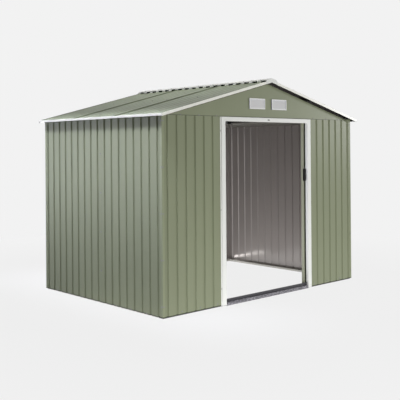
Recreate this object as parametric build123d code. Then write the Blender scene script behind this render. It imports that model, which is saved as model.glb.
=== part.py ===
from build123d import *
import os
from math import cos, hypot, radians

# A walk-in metal shed of grooved sheet, in millimetres: +X to the right as seen from the front,
# +Y towards the back, +Z up. The origin is on the ground, in the middle of the plan.

# Envelope of the building; the plan is a whole number of groove modules each way
groove_pitch = 107.5
rear_panel_module_counts = (8, 9, 8)
side_panel_module_counts = (9, 8)
roof_panel_module_count = 6
door_module_count = 11
wall_height = 1710
roof_rise = 376
eave_rise = 9
eave_overhang = 41

# Sheet metal and the gaps between pieces
sheet_thickness = 1.0
seat_gap = 0.3
ground_gap = 8
cut_overrun = 20

# Wall sheets
groove_width = 30
groove_floor_width = 14
groove_depth = 10
lap_width = 20
lap_ramp = 4
wall_lap = 12
corner_leg = 24

# Base rails
front_sill_height = 58
side_sill_height = 21
guide_lip_height = 30
threshold_height = 30
threshold_proud = 8

# Top rails and roof beams
top_rail_height = 42
top_rail_flange = 35
rail_lip = 10
beam_height = 40
beam_flange = 30
beam_place_share = 0.5

# Roof sheets, ridge and trims
eave_trim_height = 20
eave_trim_flange = 9
rake_trim_flange = 9
trim_hem = 8
roof_groove_width = 60
roof_groove_floor_width = 44
roof_groove_depth = 3
seam_width = 12
seam_height = 6
ridge_cap_half_width = 62
ridge_cap_lip = 18
ridge_cap_notch_height = 12
ridge_opening = 4
ridge_end_half_width = 83
ridge_screw_hole = 9
ridge_screw_drop = 39

# Gables and vents
gable_top_gap = 29
vent_width = 218
vent_height = 100
vent_inset = 49
vent_rise = 80
vent_border = 10
vent_depth = 8
vent_slat_count = 7
vent_slat_thickness = 1.5
vent_slat_lean_degrees = 25

# Door frame
jamb_width = 50
jamb_flange = 13
jamb_cover = 42
frame_proud = 9
frame_return = 39
header_height = 38
header_gap = 2

# Door track and hangers
track_height = 32
track_slot_width = 18
hanger_block_width = 32
hanger_block_height = 16
hanger_block_length = 60
hanger_neck_thickness = 5
hanger_foot_length = 44
hanger_foot_thickness = 3
hanger_inset = 90

# Sliding doors
door_overlap = 32
door_leading_reveal = 20
door_closed_half_gap = 3
door_clearance = 6
door_depth = 20
door_bottom_height = 20
door_top_gap = 6
door_edge_lip = 16
door_rail_height = 34
door_rail_depth = 8
door_rail_shares = (0, 0.48, 1)

# Handles
handle_height = 120
handle_width = 13
handle_proud = 30
handle_bar = 9
handle_corner = 8
handle_bottom_height = 1087
handle_inset = 1

# Places that follow from the sizes above
tuck = sheet_thickness + seat_gap
front_module_count = sum(rear_panel_module_counts)
side_module_count = sum(side_panel_module_counts)
roof_places = ("front", "middle", "rear")
roof_module_count = len(roof_places) * roof_panel_module_count
half_width = front_module_count * groove_pitch / 2
half_depth = side_module_count * groove_pitch / 2
wall_top = wall_height + wall_lap
skin_depth = groove_depth + sheet_thickness + seat_gap
inner_half_width = half_width - skin_depth
inner_half_depth = half_depth - skin_depth
ridge_height = wall_height + roof_rise
eave_height = wall_height + eave_rise
roof_half_width = half_width + eave_overhang
roof_sheet_end = roof_module_count * groove_pitch / 2
roof_end = roof_sheet_end + tuck
ridge_sheet_height = ridge_height - ridge_cap_lip - seat_gap
eave_sheet_height = eave_height - tuck
roof_slope = (ridge_sheet_height - eave_sheet_height) / roof_half_width
roof_underside_drop = roof_groove_depth + tuck
roof_seam_place = roof_panel_module_count * groove_pitch / 2
rake_trim_height = eave_trim_height + 2 * tuck + roof_slope * trim_hem
opening_half = door_module_count * groove_pitch / 2
opening_top = wall_height - header_gap - header_height
frame_top = wall_height - header_gap
front_wall_groove_count = (front_module_count - door_module_count) // 2 - 1
frame_front = -half_depth - frame_proud
frame_back = frame_front + frame_return
door_front = frame_back + door_clearance + tuck
door_back = door_front + door_depth + tuck
sill_width = door_back + door_clearance + sheet_thickness + inner_half_depth
track_mid = door_front + door_depth / 2
track_width = 2 * (track_mid + inner_half_depth)
track_top = wall_top
track_bottom = track_top - track_height
door_top = track_bottom - door_top_gap
door_lead = opening_half - door_leading_reveal
door_width = opening_half - door_closed_half_gap + door_overlap
door_groove_count = int(door_width // groove_pitch)


def roof_level(x):
    """Height of the roof sheets' flat outer face at a distance from the ridge."""
    return ridge_sheet_height - roof_slope * abs(x)


def roof_underside(x):
    """Height that pieces under the roof may reach."""
    return roof_level(x) - roof_underside_drop


def folded_sheet(points):
    """Section of a sheet folded along a line of points, with its thickness on the line's left."""
    line = Polyline(*points)
    return make_face(offset(line, sheet_thickness, kind=Kind.INTERSECTION, side=Side.LEFT).edges())


def upright(points, bottom, top):
    """A folded sheet whose section is a plan, standing between two heights."""
    return Pos(0, 0, bottom) * extrude(folded_sheet(points), top - bottom)


def along_x(points, length):
    """A folded sheet whose section is in Y and Z, centred on X."""
    return extrude(Plane.YZ * folded_sheet(points), length / 2, both=True)


def along_y(points, length):
    """A folded sheet whose section is in X and Z, centred on Y."""
    return extrude(Plane.XZ * folded_sheet(points), length / 2, both=True)


def down_the_roof(points, start, end):
    """A folded sheet whose section is in Y and Z at the ridge, run down the left slope."""
    run = end - start
    length = hypot(run, run * roof_slope)
    section = Pos(-start, 0, -roof_slope * start) * (Plane.YZ * folded_sheet(points))
    return extrude(section, length, dir=(-1, 0, -roof_slope))


def flip_x(shape):
    return mirror(shape, Plane.YZ)


def flip_y(shape):
    return mirror(shape, Plane.XZ)


def grooved_line(start, end, centres, tucked):
    """Outer line of a wall sheet along X, its grooves sunk towards +Y, its start tucked under a neighbour."""
    points = [(start, 0)]
    if tucked:
        points = [(start - lap_width, tuck), (start, tuck), (start + lap_ramp, 0)]
    for centre in centres:
        points.append((centre - groove_width / 2, 0))
        points.append((centre - groove_floor_width / 2, groove_depth))
        points.append((centre + groove_floor_width / 2, groove_depth))
        points.append((centre + groove_width / 2, 0))
    points.append((end, 0))
    return points


def wall_panels(module_counts, end_trim):
    """The lapped panels of one whole wall, laid along X with their outer faces on Y = 0."""
    total = sum(module_counts)
    panels = []
    first = 0
    for count in module_counts:
        start = (first - total / 2) * groove_pitch
        end = start + count * groove_pitch - seat_gap
        centres = [start + (k + 0.5) * groove_pitch for k in range(count)]
        if first == 0:
            start += end_trim
        if first + count == total:
            end += seat_gap - end_trim
        panels.append(upright(grooved_line(start, end, centres, first > 0), ground_gap, wall_top))
        first += count
    return panels


def front_wall():
    """The sheet right of the doorway: plain under the jamb, then grooved as far as the corner."""
    start = opening_half + jamb_width - jamb_cover
    end = half_width - tuck
    centres = [half_width - (k + 0.5) * groove_pitch for k in reversed(range(front_wall_groove_count))]
    return Pos(0, -half_depth, 0) * upright(grooved_line(start, end, centres, False), ground_gap, wall_top)


def corner_strip():
    """Angle over the front left corner."""
    x = -half_width - tuck
    y = -half_depth - tuck
    points = [(x, y + corner_leg), (x, y), (x + corner_leg, y)]
    return upright(points, ground_gap, wall_height - seat_gap)


def front_sill():
    """Channel under the doors; its tall front flange guides them."""
    front = -inner_half_depth
    back = front + sill_width
    points = [(front, front_sill_height), (front, 0), (back, 0), (back, guide_lip_height)]
    return along_x(points, 2 * inner_half_width)


def rear_sill():
    back = inner_half_depth
    front = back - sill_width
    points = [(front, side_sill_height), (front, 0), (back, 0), (back, side_sill_height)]
    return along_x(points, 2 * inner_half_width)


def side_sill():
    """The left one, between the front and rear sills."""
    outer = -inner_half_width
    inner = outer + sill_width
    points = [(outer, side_sill_height), (outer, 0), (inner, 0), (inner, side_sill_height)]
    return along_y(points, 2 * (inner_half_depth - sill_width - seat_gap))


def threshold():
    """Pale strip across the foot of the doorway, in front of the guide flange."""
    toe = -half_depth - threshold_proud
    back = -inner_half_depth - seat_gap
    points = [(back, threshold_height), (toe, threshold_height), (toe, 0), (toe + trim_hem, 0)]
    return along_x(points, 2 * (opening_half - seat_gap))


def door_jamb():
    """The right one: it lines the opening, covers the wall's edge and lies on the wall with a flange."""
    seat = -half_depth - tuck
    outer = opening_half + jamb_width
    points = [
        (opening_half, frame_back),
        (opening_half, frame_front),
        (outer, frame_front),
        (outer, seat),
        (outer + jamb_flange, seat),
    ]
    return upright(points, ground_gap, frame_top) - rail_notches()


def rail_notches():
    """Cuts in the right jamb's return, which stands on the front sill and ends under the door track."""
    cuts = []
    for bottom, top in ((0, front_sill_height + seat_gap), (track_bottom - seat_gap, track_top)):
        y = -inner_half_depth - seat_gap + frame_return / 2
        cuts.append(Pos(opening_half, y, (bottom + top) / 2) * Box(cut_overrun, frame_return, top - bottom))
    return cuts


def door_header():
    points = [
        (-half_depth, frame_top),
        (frame_front, frame_top),
        (frame_front, opening_top),
        (frame_back, opening_top),
    ]
    return along_x(points, 2 * (opening_half - seat_gap))


def door_track():
    """Channel open at the bottom, with two lips that the hangers run on."""
    front = -inner_half_depth
    back = front + track_width
    lip = (track_width - track_slot_width) / 2
    points = [
        (back - lip, track_bottom),
        (back, track_bottom),
        (back, track_top),
        (front, track_top),
        (front, track_bottom),
        (front + lip, track_bottom),
    ]
    return along_x(points, 2 * inner_half_width)


def side_top_rail():
    """The left one: its sloped flange carries the roof sheets."""
    outer = -inner_half_width
    inner = outer + top_rail_flange
    bottom = wall_top - top_rail_height
    points = [
        (inner, roof_underside(inner)),
        (outer, roof_underside(outer)),
        (outer, bottom),
        (outer + rail_lip, bottom),
    ]
    return along_y(points, 2 * (inner_half_depth - track_width - seat_gap))


def rear_top_rail():
    back = inner_half_depth
    bottom = wall_top - top_rail_height
    points = [(back - rail_lip, bottom), (back, bottom), (back, wall_top), (back - track_width, wall_top)]
    return along_x(points, 2 * inner_half_width)


def roof_beam():
    """The left one: a channel from gable to gable under the sheets."""
    inner = -beam_place_share * half_width + beam_flange / 2
    outer = inner - beam_flange
    bottom = roof_underside(outer) - tuck - beam_height
    points = [
        (inner, roof_underside(inner) - tuck),
        (outer, roof_underside(outer) - tuck),
        (outer, bottom),
        (inner, bottom),
    ]
    return along_y(points, 2 * (half_depth - seat_gap))


def roof_line(low, high, seam_low, seam_high):
    """Outer line of a roof sheet from high Y to low Y, its grooves sunk; seams are over, under or none."""
    half_seam = seam_width / 2
    base = ridge_sheet_height
    points = []
    for side, edge, seam in ((1, high, seam_high), (-1, low, seam_low)):
        ends = [(edge, base)]
        if seam == "over":
            ends = [
                (edge + side * half_seam, base + tuck),
                (edge + side * half_seam, base + seam_height),
                (edge - side * half_seam, base + seam_height),
                (edge - side * half_seam, base),
            ]
        if seam == "under":
            ends = [(edge, base + seam_height - 2 * tuck), (edge, base)]
        points.append(ends)
    grooves = []
    count = round((high - low) / groove_pitch)
    for k in range(count):
        centre = high - (k + 0.5) * groove_pitch
        grooves.append((centre + roof_groove_width / 2, base))
        grooves.append((centre + roof_groove_floor_width / 2, base - roof_groove_depth))
        grooves.append((centre - roof_groove_floor_width / 2, base - roof_groove_depth))
        grooves.append((centre - roof_groove_width / 2, base))
    return points[0] + grooves + list(reversed(points[1]))


def roof_panels():
    """Front, middle and rear sheets of the left slope; the middle one's seams cover its neighbours."""
    edge = roof_seam_place
    end = roof_half_width - tuck
    front = roof_line(-roof_sheet_end, -edge, None, "under")
    middle = roof_line(-edge, edge, "over", "over")
    rear = roof_line(edge, roof_sheet_end, "under", None)
    return [down_the_roof(line, ridge_opening, end) for line in (front, middle, rear)]


def seam_notches(x, z, length):
    """Cuts that let the two roof seams pass under a piece that lies across them."""
    width = seam_width + 2 * tuck
    height = seam_height + tuck
    return [Pos(x, y, z) * Box(length, width, 2 * height) for y in (-roof_seam_place, roof_seam_place)]


def groove_notches(z, length):
    """Cuts that keep the roof's grooves open where a piece stands across them."""
    places = [(k + 0.5) * groove_pitch - roof_sheet_end for k in range(roof_module_count)]
    return [Pos(0, y, z) * Box(length, roof_groove_width, 2 * ridge_cap_notch_height) for y in places]


def ridge_cap():
    """Cap over the ridge, standing on two lips that are notched for the roof's seams and grooves."""
    edge = ridge_cap_half_width
    foot = roof_level(edge) + seat_gap
    shoulder = foot + ridge_cap_lip
    points = [(edge, foot), (edge, shoulder), (0, ridge_height), (-edge, shoulder), (-edge, foot)]
    length = 2 * edge + cut_overrun
    return along_y(points, 2 * roof_end) - seam_notches(0, foot, length) - groove_notches(foot, length)


def rake_top(x):
    """Top of the rake trims, which lap over the eave trims."""
    return roof_level(x) + 2 * tuck


def ridge_end():
    """Front plate that closes the cap and covers the meeting of the rake trims, holed for its screw."""
    wide = ridge_end_half_width
    edge = ridge_cap_half_width
    right = [
        (wide, rake_top(wide) - rake_trim_height),
        (wide, rake_top(wide)),
        (edge, roof_level(edge) + seat_gap + ridge_cap_lip),
    ]
    left = [(-x, z) for x, z in reversed(right)]
    outline = right + [(0, ridge_height)] + left + [(0, rake_top(0) - rake_trim_height)]
    face = make_face(Polyline(*outline, close=True))
    face -= Pos(0, ridge_height - ridge_screw_drop) * Circle(ridge_screw_hole / 2)
    plate = extrude(Plane.XZ * face, sheet_thickness)
    return Pos(0, -roof_end - seat_gap, 0) * plate


def eave_trim():
    """The left one."""
    edge = -roof_half_width
    inner = edge + eave_trim_flange
    bottom = eave_height - eave_trim_height
    points = [
        (inner, eave_height + roof_slope * eave_trim_flange),
        (edge, eave_height),
        (edge, bottom),
        (edge + trim_hem, bottom),
    ]
    notch_middle = edge + sheet_thickness + cut_overrun / 2
    notches = seam_notches(notch_middle, eave_height, cut_overrun)
    return along_y(points, 2 * (roof_end - tuck)) - notches


def rake_trim():
    """The front one on the left slope."""
    top = rake_top(0)
    bottom = top - rake_trim_height
    points = [
        (-roof_end + rake_trim_flange, top),
        (-roof_end, top),
        (-roof_end, bottom),
        (-roof_end + trim_hem, bottom),
    ]
    return down_the_roof(points, ridge_cap_half_width + seat_gap, roof_half_width)


def gable_outline():
    """What lies over the walls, between their outer faces and below a gap under the roof."""
    far = roof_half_width
    side = roof_underside(far) - gable_top_gap
    peak = roof_underside(0) - gable_top_gap
    under_roof = make_face(Polyline((-far, 0), (far, 0), (far, side), (0, peak), (-far, side), close=True))
    over_walls = Pos(0, (wall_height + ridge_height) / 2) * Rectangle(2 * half_width, roof_rise)
    return Plane.XZ * (under_roof & over_walls)


def vent_centres():
    x = vent_inset + vent_width / 2
    z = wall_height + vent_rise + vent_height / 2
    return [(-x, z), (x, z)]


def front_gable():
    """Flat sheet, cut through behind the vents."""
    front = -half_depth - tuck
    gable = extrude(gable_outline(), -sheet_thickness)
    for x, z in vent_centres():
        gable -= Pos(x, 0, z) * Box(
            vent_width - 2 * vent_border, cut_overrun, vent_height - 2 * vent_border
        )
    return Pos(0, front, 0) * gable


def vent():
    """Louvred vent, centred on the origin, its back on Y = 0."""
    frame = Box(vent_width, vent_depth, vent_height)
    frame -= Box(vent_width - 2 * vent_border, vent_depth + cut_overrun, vent_height - 2 * vent_border)
    clear_height = vent_height - 2 * vent_border
    slat_pitch = clear_height / vent_slat_count
    slat_height = slat_pitch / cos(radians(vent_slat_lean_degrees))
    for k in range(vent_slat_count):
        z = (k + 0.5) * slat_pitch - clear_height / 2
        slat = Box(vent_width - vent_border, vent_slat_thickness, slat_height)
        frame += Pos(0, 0, z) * Rot(-vent_slat_lean_degrees, 0, 0) * slat
    return Pos(0, -vent_depth / 2, 0) * frame


def front_vents():
    front = -half_depth - tuck - seat_gap
    return [Pos(x, front, z) * vent() for x, z in vent_centres()]


def door_leaf():
    """Right leaf, standing open: a grooved sheet with its two edges folded back."""
    lead = door_lead + tuck
    trail = door_lead + door_width
    middle = (lead + trail) / 2
    centres = [middle + (k - (door_groove_count - 1) / 2) * groove_pitch for k in range(door_groove_count)]
    points = [(lead, door_depth)] + grooved_line(lead, trail, centres, False) + [(trail, door_depth)]
    return Pos(0, door_front, 0) * upright(points, door_bottom_height, door_top)


def door_edge():
    """Strip folded round the leading edge."""
    front = door_front - tuck
    lip = door_lead + door_edge_lip
    points = [(lip, door_back), (door_lead, door_back), (door_lead, front), (lip, front)]
    return upright(points, door_bottom_height, door_top)


def door_rails():
    """Channels across the back of the leaf, at its foot, its middle and its top."""
    front = door_front + skin_depth
    back = front + door_rail_depth
    lead = door_lead + tuck + tuck
    trail = door_lead + door_width - tuck
    lowest = door_bottom_height
    highest = door_top - door_rail_height
    rails = []
    for share in door_rail_shares:
        bottom = lowest + share * (highest - lowest)
        top = bottom + door_rail_height
        points = [(back, top), (front, top), (front, bottom), (back, bottom)]
        rail = along_x(points, trail - lead)
        rails.append(Pos((lead + trail) / 2, 0, 0) * rail)
    return rails


def door_hangers():
    """Slides that run on the track's lips, each on a bracket that stands on the top rail."""
    seat = track_bottom + tuck
    foot = door_top + seat_gap
    hangers = []
    for x in (door_lead + hanger_inset, door_lead + door_width - hanger_inset):
        block = Box(hanger_block_length, hanger_block_width, hanger_block_height)
        neck_height = seat - foot
        neck = Box(hanger_foot_length, hanger_neck_thickness, neck_height)
        plate = Box(hanger_foot_length, door_rail_depth, hanger_foot_thickness)
        rail_mid = door_front + skin_depth + door_rail_depth / 2
        hanger = Pos(x, track_mid, seat + hanger_block_height / 2) * block
        hanger += Pos(x, track_mid, foot + neck_height / 2) * neck
        hanger += Pos(x, rail_mid, foot + hanger_foot_thickness / 2) * plate
        hangers.append(hanger)
    return hangers


def door_handle():
    """Bow handle on the strip of the leading edge."""
    bow = Rectangle(handle_proud, handle_height)
    bow = fillet(bow.vertices().sort_by(Axis.X)[:2], handle_corner)
    hole = Rectangle(handle_proud - handle_bar, handle_height - 2 * handle_bar)
    bow -= Pos(handle_bar, 0) * hole
    base = Pos(handle_proud / 2 - sheet_thickness, 0) * Rectangle(2 * sheet_thickness, handle_height)
    bow += base
    x = door_lead + handle_inset + handle_width / 2
    y = door_front - tuck - seat_gap - handle_proud / 2
    z = handle_bottom_height + handle_height / 2
    return Pos(x, y, z) * extrude(Plane.YZ * bow, handle_width / 2, both=True)


def save(name, *solids):
    """Write the solids of one node to its own file."""
    export_step(Compound(list(solids)), f"parts/{name}.step")


os.makedirs("parts", exist_ok=True)

# Base
save("front_sill", front_sill())
save("rear_sill", rear_sill())
save("left_sill", side_sill())
save("right_sill", flip_x(side_sill()))
save("threshold", threshold())

# Walls
right_front = front_wall()
save("front_right_wall", right_front)
save("front_left_wall", flip_x(right_front))
for place, panel in zip(("rear", "front"), wall_panels(side_panel_module_counts, 0)):
    left = Pos(-half_width, 0, 0) * Rot(0, 0, -90) * panel
    save(f"left_wall_{place}", left)
    save(f"right_wall_{place}", flip_x(left))
for place, panel in zip(("right", "middle", "left"), wall_panels(rear_panel_module_counts, tuck)):
    save(f"rear_wall_{place}", Pos(0, half_depth, 0) * Rot(0, 0, 180) * panel)
corner = corner_strip()
save("corner_strips", corner, flip_x(corner), flip_y(corner), flip_x(flip_y(corner)))

# Rails and beams inside
rail = side_top_rail()
save("top_rails", rail, flip_x(rail), rear_top_rail())
save("door_track", door_track())
beam = roof_beam()
save("roof_beams", beam, flip_x(beam))

# Gables and vents
gable = front_gable()
save("front_gable", gable)
save("rear_gable", flip_y(gable))
vents = front_vents()
save("gable_vents", *vents, *[flip_y(each) for each in vents])

# Roof
for place, panel in zip(roof_places, roof_panels()):
    save(f"left_roof_{place}", panel)
    save(f"right_roof_{place}", flip_x(panel))
save("ridge_cap", ridge_cap())
end_plate = ridge_end()
save("ridge_ends", end_plate, flip_y(end_plate))
trim = eave_trim()
save("eave_trims", trim, flip_x(trim))
rake = rake_trim()
save("front_rake_trims", rake, flip_x(rake))
save("rear_rake_trims", flip_y(rake), flip_y(flip_x(rake)))

# Door frame
save("door_header", door_header())
jamb = door_jamb()
save("right_jamb", jamb)
save("left_jamb", flip_x(jamb))

# Sliding doors
door_pieces = {
    "leaf": [door_leaf()],
    "edge": [door_edge()],
    "rails": door_rails(),
    "hangers": door_hangers(),
    "handle": [door_handle()],
}
for piece, solids in door_pieces.items():
    save(f"right_door_{piece}", *solids)
    save(f"left_door_{piece}", *[flip_x(each) for each in solids])
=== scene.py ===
import math

import bpy
from mathutils import Matrix, Vector


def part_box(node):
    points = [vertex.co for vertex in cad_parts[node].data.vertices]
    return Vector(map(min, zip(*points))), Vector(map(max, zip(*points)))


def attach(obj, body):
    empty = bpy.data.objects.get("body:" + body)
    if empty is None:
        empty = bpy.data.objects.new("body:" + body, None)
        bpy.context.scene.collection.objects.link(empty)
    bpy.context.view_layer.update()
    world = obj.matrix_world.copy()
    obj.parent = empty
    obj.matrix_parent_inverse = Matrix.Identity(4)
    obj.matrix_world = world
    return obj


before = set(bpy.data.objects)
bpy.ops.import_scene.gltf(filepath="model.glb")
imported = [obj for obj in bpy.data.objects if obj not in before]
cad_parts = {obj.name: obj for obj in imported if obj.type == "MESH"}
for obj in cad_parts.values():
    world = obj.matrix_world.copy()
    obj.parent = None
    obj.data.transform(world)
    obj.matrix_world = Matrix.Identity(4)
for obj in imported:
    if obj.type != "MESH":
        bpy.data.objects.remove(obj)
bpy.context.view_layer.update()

X_AXIS, Y_AXIS, Z_AXIS = 0, 1, 2
BOTH_SIDES = (-1, 1)
FRONTWARD = (0, -1, 0)
REARWARD = (0, 1, 0)

# Camera, from the photo's perspective: place and depth in metres, angles in degrees, the rest in pixels
PHOTO_SIZE = 400
CAMERA_PLACE = Vector((-5.2562, -5.4713, 1.4328))
CAMERA_YAW = 41.701
CAMERA_PITCH = 0.047
CAMERA_ROLL = -0.451
CAMERA_DEPTH = 100
FOCAL_PIXELS = 719.9
OPTICAL_CENTRE = (175, 147)

# Width of the camera's sensor in millimetres
SENSOR_WIDTH = 36.0

# Colours of the finishes and of the surroundings, in sRGB from 0 to 255
GREEN = (139, 145, 118)
ROOF_GREEN = (130, 140, 112)
# Lighter than the walls' green: painted light on the corner strips
CORNER_GREEN_LIT = (146, 153, 124)
# Lighter than the doors' green: painted light on the recessed door edges
EDGE_GREEN_LIT = (172, 175, 153)
PRIMER = (186, 180, 177)
# Near black, painted shade: the roof's underside and its top under the ridge cap, the trims' hidden faces
# and the rear of the jambs' returns
UNDERSIDE_SHADE = (28, 27, 26)
WHITE = (244, 245, 240)
RAKE_WHITE = (252, 251, 241)
# Darker than the other whites: painted shade that holds down the strong light on the eave trims
EAVE_WHITE_SHADED = (224, 223, 211)
CAP_WHITE = (238, 238, 230)
VENT_WHITE = (252, 252, 250)
VENT_SHADE = (150, 150, 180)
ZINC = (206, 204, 198)
DULL_ZINC = (150, 149, 148)
WORN_ZINC = (136, 134, 140)
DARK_RAIL = (62, 61, 66)
BLACK = (34, 34, 34)
NYLON = (205, 204, 198)
BACKGROUND = (242, 242, 242)

# Tint of the light from the left
COOL = (0.84, 0.855, 1.0)

# Sizes that the pieces are laid out by, in metres: grooves, roof sheets, ridge cap, vents and door rails
GROOVE_PITCH = 0.1075
ROOF_RIDGE = 2.0677
ROOF_SLOPE = 0.2528
CAP_RIDGE = 2.086
CAP_SHEET = 0.001
VENT_INSET = 0.049
HALF_DOOR_RAIL = 0.017

half_width = -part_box("left_wall_front")[0].x
half_depth = -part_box("front_left_wall")[0].y
strip_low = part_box("corner_strips")[0]
gable_face = -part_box("front_gable")[0].y
wall_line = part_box("front_gable")[0].z
wall_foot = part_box("left_wall_front")[0].z
side_sill_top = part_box("left_sill")[1].z
front_sill_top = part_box("front_sill")[1].z


def linear(colour):
    """Linear RGB of an sRGB colour."""
    def channel(value):
        value /= 255
        return value / 12.92 if value <= 0.04045 else ((value + 0.055) / 1.055) ** 2.4
    return tuple(channel(value) for value in colour)


def opaque(colour):
    """Linear RGB of an sRGB colour, with a full alpha."""
    return (*linear(colour), 1.0)


# Detail of noise, and samples that round a fold
SOFT_DETAIL = 2.0
FINE_DETAIL = 3.0
FOLD_SAMPLES = 4


class Shader:
    """A node material under construction."""

    def __init__(self, name):
        self.material = bpy.data.materials.new(name)
        self.material.use_nodes = True
        self.tree = self.material.node_tree
        self.bsdf = self.tree.nodes["Principled BSDF"]
        self.output = self.tree.nodes["Material Output"]
        self.coords = self.add("ShaderNodeTexCoord")
        self.place = self.coords.outputs["Object"]

    def add(self, kind, inputs=None, **settings):
        """Add a node, set its options, and set or link its inputs."""
        made = self.tree.nodes.new(kind)
        for name, value in settings.items():
            setattr(made, name, value)
        for name, value in (inputs or {}).items():
            self.feed(made.inputs[name], value)
        return made

    def feed(self, socket, value):
        """Link a socket to another, or set its value."""
        if isinstance(value, bpy.types.NodeSocket):
            self.tree.links.new(value, socket)
        else:
            socket.default_value = value

    def noise(self, scale, detail=SOFT_DETAIL, stretch=(1, 1, 1)):
        mapping = self.add("ShaderNodeMapping", {"Vector": self.place, "Scale": stretch})
        made = self.add("ShaderNodeTexNoise", {
            "Vector": mapping.outputs[0], "Scale": scale, "Detail": detail})
        return made.outputs["Fac"]

    def ramp(self, value, low, high, from_low=0.0, from_high=1.0):
        made = self.add("ShaderNodeMapRange", {
            "Value": value, "From Min": from_low, "From Max": from_high, "To Min": low, "To Max": high})
        return made.outputs["Result"]

    def math(self, operation, a, b=0.0):
        made = self.add("ShaderNodeMath", {0: a, 1: b}, operation=operation)
        return made.outputs[0]

    def mix(self, factor, a, b):
        """One colour where a factor is 0, another where it is 1."""
        made = self.add("ShaderNodeMix", data_type="RGBA")
        self.feed(made.inputs["Factor"], factor)
        self.feed(made.inputs[6], a)
        self.feed(made.inputs[7], b)
        return made.outputs[2]

    def shade(self, colour, factor):
        """A colour times a grey factor."""
        made = self.add("ShaderNodeVectorMath", {0: colour, "Scale": factor}, operation="SCALE")
        return made.outputs[0]

    def bump(self, height, strength, distance, normal):
        made = self.add("ShaderNodeBump", {
            "Height": height, "Strength": strength, "Distance": distance, "Normal": normal})
        return made.outputs["Normal"]

    def fold(self, radius):
        """Normals that round the edges off."""
        made = self.add("ShaderNodeBevel", {"Radius": radius}, samples=FOLD_SAMPLES)
        return made.outputs["Normal"]

    def outside(self, axes, least):
        """1 on faces that look out of the building along one of some axes."""
        normal = self.add("ShaderNodeSeparateXYZ", {0: self.coords.outputs["Normal"]})
        place = self.add("ShaderNodeSeparateXYZ", {0: self.place})
        facing = -1.0
        for axis in axes:
            outwards = self.math("SIGN", place.outputs[axis])
            facing = self.math("MAXIMUM", facing, self.math("MULTIPLY", normal.outputs[axis], outwards))
        return self.math("GREATER_THAN", facing, least)

    def beyond(self, axis, least):
        """1 at more than a distance from the middle along an axis."""
        place = self.add("ShaderNodeSeparateXYZ", {0: self.place})
        return self.math("GREATER_THAN", self.math("ABSOLUTE", place.outputs[axis]), least)

    def finish(self, **inputs):
        """Feed the surface's inputs, named with underscores, and give the material."""
        for name, value in inputs.items():
            self.feed(self.bsdf.inputs[name.replace("_", " ")], value)
        return self.material


# Orange peel of the paints: noise scale and depth in metres
PEEL_SCALE = 700.0
PEEL_DEPTH = 0.0004

# Painted sheet: least cosine of its outer side, noise scales, ranges of tone and roughness, strength of the
# peel, and the folds' radius in metres
SHEET_OUTSIDE = -0.3
SHEET_CLOUDS = 1.7
SHEET_CLOUD_TONES = (0.95, 1.05)
SHEET_STREAKS = 9.0
SHEET_STREAK_STRETCH = (1, 1, 0.06)
SHEET_STREAK_TONES = (0.97, 1.03)
SHEET_MOTTLE = 30.0
SHEET_ROUGHNESS = (0.36, 0.48)
SHEET_PEEL = 0.06
SHEET_FOLD = 0.0025

# Shine of painted sheet, and of its inner coat
SHEET_SHEEN = 0.3
INNER_METAL = 0.35
INNER_POLISH = 0.45

# Painted shade lines along the lower edges of the wall sheets and the gables: heights in metres, and their
# tone
WALL_EDGE = 0.008
GABLE_EDGE = 0.004
EDGE_SHADE_TONE = 0.3


def sheet_paint(name, axes, outer=GREEN, inner=PRIMER, covered=0.0, foot=0.0):
    """Painted sheet: one coat on the face that looks out of the building along some axes, and another colour
    inside and under the ridge cap, which covers it up to some distance from the middle; on the roof that
    colour is painted shade. Below its foot's height it is darker, a painted shade line."""
    shader = Shader(name)
    outside = shader.outside(axes, SHEET_OUTSIDE)
    # On the roof, the top under the ridge cap takes the inner colour: painted shade
    if covered:
        outside = shader.math("MULTIPLY", outside, shader.beyond(X_AXIS, covered))
    cloud = shader.ramp(shader.noise(SHEET_CLOUDS, FINE_DETAIL), *SHEET_CLOUD_TONES)
    streak = shader.ramp(shader.noise(SHEET_STREAKS, FINE_DETAIL, SHEET_STREAK_STRETCH), *SHEET_STREAK_TONES)
    tone = shader.math("MULTIPLY", cloud, streak)
    # Below the foot's height the colour is darkened: a painted shade line
    if foot:
        tone = shader.math("MULTIPLY", tone, shader.ramp(shader.beyond(Z_AXIS, foot), EDGE_SHADE_TONE, 1.0))
    paint = shader.shade(linear(outer), tone)
    inside_colour = shader.shade(linear(inner), cloud)
    matt = shader.ramp(shader.noise(SHEET_MOTTLE, FINE_DETAIL), *SHEET_ROUGHNESS)
    shader.bsdf.inputs["Specular IOR Level"].default_value = SHEET_SHEEN
    return shader.finish(
        Base_Color=shader.mix(outside, inside_colour, paint),
        Metallic=shader.ramp(outside, INNER_METAL, 0.0),
        Roughness=shader.math("MULTIPLY", matt, shader.ramp(outside, INNER_POLISH, 1.0)),
        Normal=shader.bump(shader.noise(PEEL_SCALE), SHEET_PEEL, PEEL_DEPTH, shader.fold(SHEET_FOLD)),
    )


# Paint on trims: least cosine of their outer side, noise scales, ranges of tone and roughness, strength of
# the peel, and the folds' radius in metres
TRIM_OUTSIDE = 0.3
TRIM_CLOUDS = 4.0
TRIM_CLOUD_TONES = (0.96, 1.02)
TRIM_MOTTLE = 40.0
TRIM_ROUGHNESS = (0.32, 0.46)
TRIM_PEEL = 0.05
TRIM_FOLD = 0.0015

# Shine of the trims, and the depth in metres of the painted shadow along the rear of the jambs' returns
PLAIN_GLOSS = 0.5
RAKE_GLOSS = 1.0
JAMB_SHADOW_DEPTH = 0.012


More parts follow.
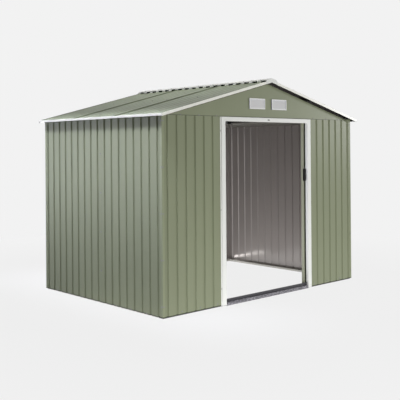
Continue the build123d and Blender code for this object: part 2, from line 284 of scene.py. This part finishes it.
def trim_paint(name, colour, axes=(), shadow_within=0.0, gloss=PLAIN_GLOSS, shaded=UNDERSIDE_SHADE):
    """Paint on folded trims: all round, or only on the faces that look up or out along some axes, with
    painted shade on the others. What lies nearer than a given distance from the middle of the depth is
    painted shade too."""
    shader = Shader(name)
    cloud = shader.ramp(shader.noise(TRIM_CLOUDS, FINE_DETAIL), *TRIM_CLOUD_TONES)
    paint = shader.shade(linear(colour), cloud)
    dark = shader.shade(linear(shaded), cloud)
    # Faces that look neither up nor out take painted shade
    if axes:
        paint = shader.mix(shader.outside(axes, TRIM_OUTSIDE), dark, paint)
    # The rear of the jambs' returns is darkened: painted shadow of the gap behind them
    if shadow_within:
        paint = shader.mix(shader.beyond(Y_AXIS, shadow_within), dark, paint)
    shader.bsdf.inputs["Specular IOR Level"].default_value = gloss
    return shader.finish(
        Base_Color=paint,
        Roughness=shader.ramp(shader.noise(TRIM_MOTTLE, FINE_DETAIL), *TRIM_ROUGHNESS),
        Normal=shader.bump(shader.noise(PEEL_SCALE), TRIM_PEEL, PEEL_DEPTH, shader.fold(TRIM_FOLD)),
    )


# Zinc: scales of the spangle, clouds and scuffs, ranges of tone, noise and roughness, how worn the threshold
# is, and the folds' radius in metres
SPANGLE_SCALE = 90.0
SPANGLE_TONES = (0.9, 1.08)
ZINC_CLOUDS = 6.0
ZINC_CLOUD_TONES = (0.92, 1.06)
SCUFF_SCALE = 55.0
SCUFF_DETAIL = 6.0
SCUFF_STRETCH = (1, 2, 2)
SCUFF_NOISE = (0.35, 0.65)
ZINC_METAL = 0.6
ZINC_ROUGHNESS = (0.38, 0.52)
ZINC_FOLD = 0.0015
THRESHOLD_WEAR = 0.55


def zinc_coat(name, colour, wear=0.0):
    """Galvanised steel with a faint spangle, and dark scuffs where it is trodden on."""
    shader = Shader(name)
    cells = shader.add("ShaderNodeTexVoronoi", {"Vector": shader.place, "Scale": SPANGLE_SCALE})
    spangle = shader.add("ShaderNodeSeparateColor", {0: cells.outputs["Color"]}).outputs[0]
    cloud = shader.ramp(shader.noise(ZINC_CLOUDS), *ZINC_CLOUD_TONES)
    tone = shader.math("MULTIPLY", shader.ramp(spangle, *SPANGLE_TONES), cloud)
    if wear:
        scuff = shader.noise(SCUFF_SCALE, SCUFF_DETAIL, SCUFF_STRETCH)
        tone = shader.math("MULTIPLY", tone, shader.ramp(scuff, 1 - wear, 1 + wear, *SCUFF_NOISE))
    shader.bsdf.inputs["Metallic"].default_value = ZINC_METAL
    return shader.finish(
        Base_Color=shader.shade(linear(colour), tone),
        Roughness=shader.ramp(spangle, *ZINC_ROUGHNESS),
        Normal=shader.fold(ZINC_FOLD),
    )


# Plastic: noise scales, ranges of tone and roughness, strength of the grain, and its depth and the folds'
# radius in metres
PLASTIC_CLOUDS = 25.0
PLASTIC_TONES = (0.92, 1.08)
PLASTIC_MOTTLE = 60.0
PLASTIC_ROUGHNESS = (0.45, 0.6)
GRAIN_STRENGTH = 0.15
GRAIN_DEPTH = 0.0005
PLASTIC_FOLD = 0.002
HANDLE_GRAIN = 900.0
NYLON_GRAIN = 500.0


def moulding(name, colour, grain):
    """Moulded plastic with a fine grain."""
    shader = Shader(name)
    return shader.finish(
        Base_Color=shader.shade(linear(colour), shader.ramp(shader.noise(PLASTIC_CLOUDS), *PLASTIC_TONES)),
        Roughness=shader.ramp(shader.noise(PLASTIC_MOTTLE), *PLASTIC_ROUGHNESS),
        Normal=shader.bump(shader.noise(grain), GRAIN_STRENGTH, GRAIN_DEPTH, shader.fold(PLASTIC_FOLD)),
    )


under_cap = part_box("ridge_cap")[1].x - CAP_SHEET
# Where the painted shadow on the jambs' returns begins
jamb_shadow_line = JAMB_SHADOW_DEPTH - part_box("left_jamb")[1].y

side_paint = sheet_paint("side_paint", (X_AXIS,), foot=wall_foot + WALL_EDGE)
end_paint = sheet_paint("end_paint", (Y_AXIS,), foot=wall_foot + WALL_EDGE)
gable_paint = sheet_paint("gable_paint", (Y_AXIS,), foot=wall_line + GABLE_EDGE)
corner_paint = sheet_paint("corner_paint", (X_AXIS, Y_AXIS), CORNER_GREEN_LIT, foot=wall_foot + WALL_EDGE)
edge_paint = sheet_paint("edge_paint", (X_AXIS, Y_AXIS), EDGE_GREEN_LIT)
# The roof's inner colour is painted shade
roof_paint = sheet_paint("roof_paint", (Z_AXIS,), ROOF_GREEN, UNDERSIDE_SHADE, covered=under_cap)
white_paint = trim_paint("white_paint", WHITE)
jamb_paint = trim_paint("jamb_paint", WHITE, shadow_within=jamb_shadow_line)
# The rake, eave and cap trims take painted shade on their hidden faces, the vents a lilac painted shade in
# their louvres
rake_paint = trim_paint("rake_paint", RAKE_WHITE, (Y_AXIS, Z_AXIS), gloss=RAKE_GLOSS)
eave_paint = trim_paint("eave_paint", EAVE_WHITE_SHADED, (X_AXIS, Z_AXIS))
cap_paint = trim_paint("cap_paint", CAP_WHITE, (X_AXIS, Z_AXIS))
vent_paint = trim_paint("vent_paint", VENT_WHITE, (Y_AXIS, Z_AXIS), shaded=VENT_SHADE)
dark_rail = trim_paint("dark_rail", DARK_RAIL)
zinc = zinc_coat("zinc", ZINC)
dull_zinc = zinc_coat("dull_zinc", DULL_ZINC)
worn_zinc = zinc_coat("worn_zinc", WORN_ZINC, THRESHOLD_WEAR)
black_plastic = moulding("black_plastic", BLACK, HANDLE_GRAIN)
nylon = moulding("nylon", NYLON, NYLON_GRAIN)

# Finishes by the start of the nodes' names; the rest is zinc
FINISHES = {
    "left_wall_": side_paint,
    "right_wall_": side_paint,
    "front_left_wall": end_paint,
    "front_right_wall": end_paint,
    "rear_wall_": end_paint,
    "front_gable": gable_paint,
    "rear_gable": gable_paint,
    "corner_strips": corner_paint,
    "left_roof_": roof_paint,
    "right_roof_": roof_paint,
    "left_door_leaf": end_paint,
    "right_door_leaf": end_paint,
    "left_door_edge": edge_paint,
    "right_door_edge": edge_paint,
    "left_door_handle": black_plastic,
    "right_door_handle": black_plastic,
    "left_door_hangers": nylon,
    "right_door_hangers": nylon,
    "front_sill": dark_rail,
    "threshold": worn_zinc,
    # The roof beams take the darker zinc, partly as painted shade on their ends seen in the gaps above the
    # gables
    "roof_beams": dull_zinc,
    "eave_trims": eave_paint,
    "front_rake_trims": rake_paint,
    "rear_rake_trims": rake_paint,
    "ridge_cap": cap_paint,
    "ridge_ends": white_paint,
    "gable_vents": vent_paint,
    "door_header": white_paint,
    "left_jamb": jamb_paint,
    "right_jamb": jamb_paint,
}


def finish_of(node):
    """The finish that a CAD node's name calls for."""
    for start, material in FINISHES.items():
        if node.startswith(start):
            return material
    return zinc


for node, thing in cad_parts.items():
    thing.data.materials.clear()
    thing.data.materials.append(finish_of(node))


# Profiles of turned heads, as radius and height in metres from the rim to the middle
HEAD_SIDES = 12
SCREW = ((0.0068, 0), (0.0066, 0.0012), (0.0042, 0.0014), (0.004, 0.0032), (0.003, 0.0042),
         (0.0016, 0.0042), (0.0012, 0.0024))
PAN_HEAD = ((0.0048, 0), (0.0046, 0.001), (0.0034, 0.0019), (0.0016, 0.002), (0.0012, 0.001))
RIVET = ((0.0036, 0), (0.0034, 0.0006), (0.002, 0.0011), (0.0004, 0.0012))
PLUG = ((0.006, 0), (0.0058, 0.0012), (0.0042, 0.0022), (0.0016, 0.0024))


class Heads:
    """Turned heads of screws, rivets or plugs, gathered into one piece."""

    def __init__(self, name):
        self.name = name
        self.points = []
        self.faces = []

    def add(self, place, outward, profile):
        turn = Vector(outward).to_track_quat("Z", "Y")
        first = len(self.points)
        for radius, height in profile:
            for k in range(HEAD_SIDES):
                angle = 2 * math.pi * k / HEAD_SIDES
                spot = Vector((radius * math.cos(angle), radius * math.sin(angle), height))
                self.points.append(Vector(place) + turn @ spot)
        last = len(self.points) - HEAD_SIDES
        for ring in range(first, last, HEAD_SIDES):
            for k in range(HEAD_SIDES):
                a, b = ring + k, ring + (k + 1) % HEAD_SIDES
                self.faces.append((a, b, b + HEAD_SIDES, a + HEAD_SIDES))
        self.faces.append(tuple(range(last, last + HEAD_SIDES)))
        self.faces.append(tuple(reversed(range(first, first + HEAD_SIDES))))

    def fix_to(self, body, material):
        mesh = bpy.data.meshes.new(self.name)
        mesh.from_pydata(self.points, [], self.faces)
        mesh.materials.append(material)
        piece = bpy.data.objects.new(self.name, mesh)
        bpy.context.scene.collection.objects.link(piece)
        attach(piece, body)


def lap_middle(first, second, axis):
    """Middle of the strip where two lapped sheets overlap."""
    (low_a, high_a), (low_b, high_b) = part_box(first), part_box(second)
    return (max(low_a[axis], low_b[axis]) + min(high_a[axis], high_b[axis])) / 2


# Wall screws: ribs counted from the corner, heights, and distances from the edges in metres
END_SCREW_RIBS = (2, 4, 6, 10, 12)
SIDE_SCREW_RIBS = (2, 4, 6, 11, 13, 15)
LAP_SCREW_HEIGHTS = (0.3, 0.66, 1.02, 1.38)
STRIP_SCREW_HEIGHTS = (0.1, 0.49, 0.88, 1.27, 1.66)
STRIP_SCREW_INSET = 0.012
GABLE_SCREW_RISE = 0.006
WALL_SCREW_DROP = 0.022


def wall_screws():
    """Screws through the wall sheets: along their feet and tops, down their laps and corner strips."""
    heads = Heads("wall_screws")
    end_ribs = [half_width - k * GROOVE_PITCH for k in END_SCREW_RIBS]
    side_ribs = [half_depth - k * GROOVE_PITCH for k in SIDE_SCREW_RIBS]
    clear_of_door = -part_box("left_jamb")[0].x
    foot = (wall_foot + side_sill_top) / 2
    front_foot = (wall_foot + front_sill_top) / 2
    line = wall_line + GABLE_SCREW_RISE
    top = wall_line - WALL_SCREW_DROP
    side_lap = lap_middle("left_wall_front", "left_wall_rear", Y_AXIS)
    strip_x, strip_y = -strip_low.x, -strip_low.y
    for side in BOTH_SIDES:
        for x in end_ribs:
            heads.add((side * x, half_depth, foot), REARWARD, SCREW)
            heads.add((side * x, gable_face, line), REARWARD, SCREW)
            if x > clear_of_door:
                heads.add((side * x, -half_depth, front_foot), FRONTWARD, SCREW)
                heads.add((side * x, -gable_face, line), FRONTWARD, SCREW)
        for y in side_ribs:
            heads.add((side * half_width, y, foot), (side, 0, 0), SCREW)
            heads.add((side * half_width, y, top), (side, 0, 0), SCREW)
        for z in LAP_SCREW_HEIGHTS:
            heads.add((side * half_width, side_lap, z), (side, 0, 0), SCREW)
        for z in STRIP_SCREW_HEIGHTS:
            for end in BOTH_SIDES:
                heads.add((side * strip_x, end * (strip_y - STRIP_SCREW_INSET), z), (side, 0, 0), SCREW)
                heads.add((side * (strip_x - STRIP_SCREW_INSET), end * strip_y, z), (0, end, 0), SCREW)
    for neighbour in ("rear_wall_left", "rear_wall_right"):
        rear_lap = lap_middle("rear_wall_middle", neighbour, X_AXIS)
        for z in LAP_SCREW_HEIGHTS:
            heads.add((rear_lap, half_depth, z), REARWARD, SCREW)
    heads.fix_to("shed", dull_zinc)


# Roof screws: ribs counted from the middle, and distances from the edges and from the ridge in metres
ROOF_SCREW_RIBS = range(-8, 9, 2)
BEAM_SCREW_INSET = 0.015
EAVE_SCREW_INSET = 0.03
CAP_SCREW_OFFSET = 0.045


def roof_screws():
    """Screws through the roof's ribs over the beams and the side walls, and through the ridge cap."""
    heads = Heads("roof_screws")
    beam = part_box("roof_beams")[1].x - BEAM_SCREW_INSET
    eave = half_width - EAVE_SCREW_INSET
    cap = CAP_SCREW_OFFSET
    for side in BOTH_SIDES:
        upward = (side * ROOF_SLOPE, 0, 1)
        for k in ROOF_SCREW_RIBS:
            y = k * GROOVE_PITCH
            for x in (beam, eave):
                heads.add((side * x, y, ROOF_RIDGE - ROOF_SLOPE * x), upward, SCREW)
            heads.add((side * cap, y, CAP_RIDGE - ROOF_SLOPE * cap), upward, SCREW)
    heads.fix_to("shed", dull_zinc)


# Rivets: places along the rake trims, and distances from the roof sheets and the vents' edges, in metres
RAKE_RIVET_PLACES = (0.2, 0.55, 0.9, 1.25)
RAKE_RIVET_DROP = 0.0097
VENT_RIVET_INSET = 0.005


def trim_rivets():
    """Rivets in the rake trims and in the corners of the vents."""
    heads = Heads("trim_rivets")
    rake_face = -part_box("front_rake_trims")[0].y
    vent_low, vent_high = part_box("gable_vents")
    vent_columns = (VENT_INSET + VENT_RIVET_INSET, vent_high.x - VENT_RIVET_INSET)
    vent_rows = (vent_low.z + VENT_RIVET_INSET, vent_high.z - VENT_RIVET_INSET)
    for end in BOTH_SIDES:
        for side in BOTH_SIDES:
            for x in RAKE_RIVET_PLACES:
                z = ROOF_RIDGE - ROOF_SLOPE * x - RAKE_RIVET_DROP
                heads.add((side * x, end * rake_face, z), (0, end, 0), RIVET)
            for x in vent_columns:
                for z in vent_rows:
                    heads.add((side * x, end * vent_high.y, z), (0, end, 0), RIVET)
    heads.fix_to("shed", white_paint)


# Screws in the jambs and in the ridge's end plates, and plugs in the header: heights and distances in metres
JAMB_SCREW_HEIGHTS = (0.16, 0.869, 1.58)
JAMB_SCREW_INSET = 0.0065
PLATE_HOLE_DROP = 0.039
PLATE_HOLE_DEPTH = 0.0013
PLUG_OFFSET = 0.0075


def frame_screws():
    """Screws in the flanges of the jambs."""
    heads = Heads("frame_screws")
    flange = -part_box("left_jamb")[0].x - JAMB_SCREW_INSET
    for side in BOTH_SIDES:
        for z in JAMB_SCREW_HEIGHTS:
            heads.add((side * flange, -gable_face, z), FRONTWARD, PAN_HEAD)
    heads.fix_to("shed", dull_zinc)


def dark_screws():
    """Screws in the holes of the ridge's end plates."""
    heads = Heads("dark_screws")
    seat = -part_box("ridge_ends")[0].y - PLATE_HOLE_DEPTH
    for end in BOTH_SIDES:
        heads.add((0, end * seat, CAP_RIDGE - PLATE_HOLE_DROP), (0, end, 0), RIVET)
    heads.fix_to("shed", dark_rail)


def header_plugs():
    """The pair of dark plugs in the middle of the header."""
    heads = Heads("header_plugs")
    header_low, header_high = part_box("door_header")
    middle = (header_low.z + header_high.z) / 2
    for side in BOTH_SIDES:
        heads.add((side * PLUG_OFFSET, header_low.y, middle), FRONTWARD, PLUG)
    heads.fix_to("shed", black_plastic)


# Door screws: ribs counted from the leaf's middle, and the middle rail's share of the way to the upper one
DOOR_SCREW_RIBS = (-1.5, -0.5, 0.5, 1.5)
MIDDLE_RAIL_SHARE = 0.48


def door_screws(body):
    """Screws through a door's ribs into the rails behind."""
    heads = Heads(f"{body}_screws")
    leaf_low, leaf_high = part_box(f"{body}_leaf")
    rails_low, rails_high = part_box(f"{body}_rails")
    middle = (leaf_low.x + leaf_high.x) / 2
    first, last = rails_low.z + HALF_DOOR_RAIL, rails_high.z - HALF_DOOR_RAIL
    for z in (first, first + MIDDLE_RAIL_SHARE * (last - first), last):
        for k in DOOR_SCREW_RIBS:
            heads.add((middle + k * GROOVE_PITCH, leaf_low.y, z), FRONTWARD, PAN_HEAD)
    heads.fix_to(body, dull_zinc)


wall_screws()
roof_screws()
trim_rivets()
frame_screws()
dark_screws()
header_plugs()
door_screws("left_door")
door_screws("right_door")


def seen_by_eye(shader_tree):
    """1 for rays that show the background: straight to the camera, or by way of gloss or glass."""
    path = shader_tree.nodes.new("ShaderNodeLightPath")
    total = path.outputs["Is Camera Ray"]
    for name in ("Is Glossy Ray", "Is Transmission Ray"):
        both = shader_tree.nodes.new("ShaderNodeMath")
        both.operation = "MAXIMUM"
        shader_tree.links.new(total, both.inputs[0])
        shader_tree.links.new(path.outputs[name], both.inputs[1])
        total = both.outputs[0]
    return total


def make_world(ambient):
    """Even pale surroundings, with their own strength as a light."""
    world = bpy.data.worlds.new("studio")
    bpy.context.scene.world = world
    world.use_nodes = True
    tree = world.node_tree
    light = tree.nodes["Background"]
    light.inputs["Color"].default_value = (1, 1, 1, 1)
    light.inputs["Strength"].default_value = ambient
    shown = tree.nodes.new("ShaderNodeBackground")
    shown.inputs["Color"].default_value = opaque(BACKGROUND)
    choose = tree.nodes.new("ShaderNodeMixShader")
    tree.links.new(seen_by_eye(tree), choose.inputs[0])
    tree.links.new(light.outputs[0], choose.inputs[1])
    tree.links.new(shown.outputs[0], choose.inputs[2])
    tree.links.new(choose.outputs[0], tree.nodes["World Output"].inputs["Surface"])


# Floor: sides of its edge, its drop in metres, and the shares of its radius between which its shadow fades
FLOOR_SIDES = 96
FLOOR_DROP = 0.0005
FADE_SHARES = (0.25, 0.55)

# Glow painted into the pale floor for the light that it would throw back, strongest round the doorway: place
# and distances in metres
GLOW_CENTRE = (0.6, -1.1, 0)
GLOW_NEAR = 1.8
GLOW_FAR = 2.7
GLOW_FAR_SHARE = 0.1


def make_floor(radius, glow_strength, shadow_share):
    """Pale floor that fades into the background and keeps a soft shadow. To other rays than the eye's it
    glows: painted light for what it would throw back.
    """
    bpy.ops.mesh.primitive_circle_add(
        vertices=FLOOR_SIDES, radius=radius, fill_type="NGON", location=(0, 0, -FLOOR_DROP))
    floor = bpy.context.object
    floor.name = "floor"
    shader = Shader("floor")
    pale = opaque(BACKGROUND)
    distance = shader.add("ShaderNodeVectorMath", {0: shader.place}, operation="LENGTH")
    lit_near, lit_far = (radius * share for share in FADE_SHARES)
    near = shader.ramp(distance.outputs["Value"], 1.0, 0.0, lit_near, lit_far)
    lit_share = shader.math("MULTIPLY", near, shadow_share)
    plain = shader.add("ShaderNodeEmission", {"Color": pale})
    paper = shader.add("ShaderNodeBsdfDiffuse", {"Color": pale})
    shown = shader.add("ShaderNodeMixShader", {0: lit_share, 1: plain.outputs[0], 2: paper.outputs[0]})
    doorway = shader.add("ShaderNodeVectorMath", {0: shader.place, 1: GLOW_CENTRE}, operation="DISTANCE")
    glow = shader.ramp(doorway.outputs["Value"], glow_strength, GLOW_FAR_SHARE * glow_strength, GLOW_NEAR, GLOW_FAR)
    glowing = shader.add("ShaderNodeEmission", {"Color": pale, "Strength": glow})
    choose = shader.add("ShaderNodeMixShader", {
        0: seen_by_eye(shader.tree), 1: glowing.outputs[0], 2: shown.outputs[0]})
    shader.feed(shader.output.inputs["Surface"], choose.outputs[0])
    floor.data.materials.append(shader.material)


def add_lamp(name, place, target, size, watts, colour=(1, 1, 1), spread=180, mirrored=True):
    """A soft box aimed at a point, with a grid that keeps its light within an angle in degrees. One that
    isn't mirrored leaves no bright spot on polished sheet."""
    lamp = bpy.data.lights.new(name, "AREA")
    lamp.shape = "RECTANGLE"
    lamp.size, lamp.size_y = size
    lamp.energy = watts
    lamp.color = colour
    lamp.spread = math.radians(spread)
    thing = bpy.data.objects.new(name, lamp)
    thing.visible_camera = False
    thing.visible_glossy = mirrored
    thing.location = place
    thing.rotation_euler = (Vector(target) - Vector(place)).to_track_quat("-Z", "Y").to_euler()
    bpy.context.scene.collection.objects.link(thing)


def light_roof():
    """Light from above, and a narrow beam from the left on the ridge cap."""
    add_lamp("top", place=(-0.8, 0, 6.0), target=(0.0, 0, 1.95), size=(2.6, 1.6), watts=12.3, spread=55)
    add_lamp("ridge", place=(-3.4, 0.0, 4.4), target=(-0.1, 0.0, 2.06), size=(2.6, 0.4), watts=0.9,
             spread=20)


def light_left_wall():
    """Cool light down the left wall, fading towards its foot, and two soft boxes that its ribs mirror."""
    add_lamp("key", place=(-2.13, 0.1, 3.35), target=(-1.35, 0.1, 1.05), size=(3.6, 0.3), watts=16.9,
             colour=COOL, spread=28)
    add_lamp("sheen", place=(-4.8, 4.6, 1.6), target=(-1.34, 0.1, 1.2), size=(3.4, 2.4), watts=13,
             colour=COOL, spread=70)
    add_lamp("side", place=(-5.5, 0.0, 1.2), target=(-1.34, -0.1, 1.4), size=(1.2, 0.8), watts=3.2,
             colour=COOL, spread=70)


def light_other_walls():
    """Soft boxes before the front, the rear and the right wall, and one at the front right corner."""
    add_lamp("fill", place=(-1.2, -6.0, 1.0), target=(0.0, -0.9, 1.0), size=(1.6, 1.0), watts=120,
             mirrored=False)
    add_lamp("rim", place=(5.5, -3.2, 1.95), target=(0.9, -0.9, 1.6), size=(0.8, 0.8), watts=64)
    add_lamp("back", place=(1.5, 6.0, 1.0), target=(0.0, 0.9, 1.0), size=(1.6, 1.0), watts=150)
    add_lamp("right", place=(6.0, 1.4, 1.0), target=(1.34, 0.2, 1.0), size=(1.6, 1.0), watts=80)


def light_doorway():
    """Light that bright ground throws on the inner wall's foot, and on the right jamb's reveal."""
    add_lamp("rail_glint", place=(1.0, 0.86, 0.045), target=(1.0, 0.3, 0.18), size=(0.6, 0.025), watts=0.22)
    add_lamp("reveal", place=(-0.5, -0.96, 0.9), target=(0.6, -0.96, 0.9), size=(0.04, 1.5), watts=0.5,
             colour=COOL, spread=30, mirrored=False)


def add_camera():
    """The photo's camera: its optical centre is off the middle of the picture."""
    yaw, pitch, roll = (math.radians(angle) for angle in (CAMERA_YAW, CAMERA_PITCH, CAMERA_ROLL))
    forward = Vector((math.sin(yaw) * math.cos(pitch), math.cos(yaw) * math.cos(pitch), math.sin(pitch)))
    level = Vector((math.cos(yaw), -math.sin(yaw), 0))
    upright = level.cross(forward)
    right = level * math.cos(roll) + upright * math.sin(roll)
    up = upright * math.cos(roll) - level * math.sin(roll)
    data = bpy.data.cameras.new("camera")
    data.sensor_width = SENSOR_WIDTH
    data.lens = FOCAL_PIXELS / PHOTO_SIZE * SENSOR_WIDTH
    data.shift_x = (PHOTO_SIZE / 2 - OPTICAL_CENTRE[0]) / PHOTO_SIZE
    data.shift_y = (OPTICAL_CENTRE[1] - PHOTO_SIZE / 2) / PHOTO_SIZE
    data.clip_end = CAMERA_DEPTH
    camera = bpy.data.objects.new("camera", data)
    turn = Matrix((right, up, -forward)).transposed().to_4x4()
    camera.matrix_world = Matrix.Translation(CAMERA_PLACE) @ turn
    bpy.context.scene.collection.objects.link(camera)
    bpy.context.scene.camera = camera


make_world(ambient=0.02)
make_floor(radius=9.0, glow_strength=1.16, shadow_share=0.05)
light_roof()
light_left_wall()
light_other_walls()
light_doorway()
add_camera()
bpy.context.scene.view_settings.view_transform = "Standard"
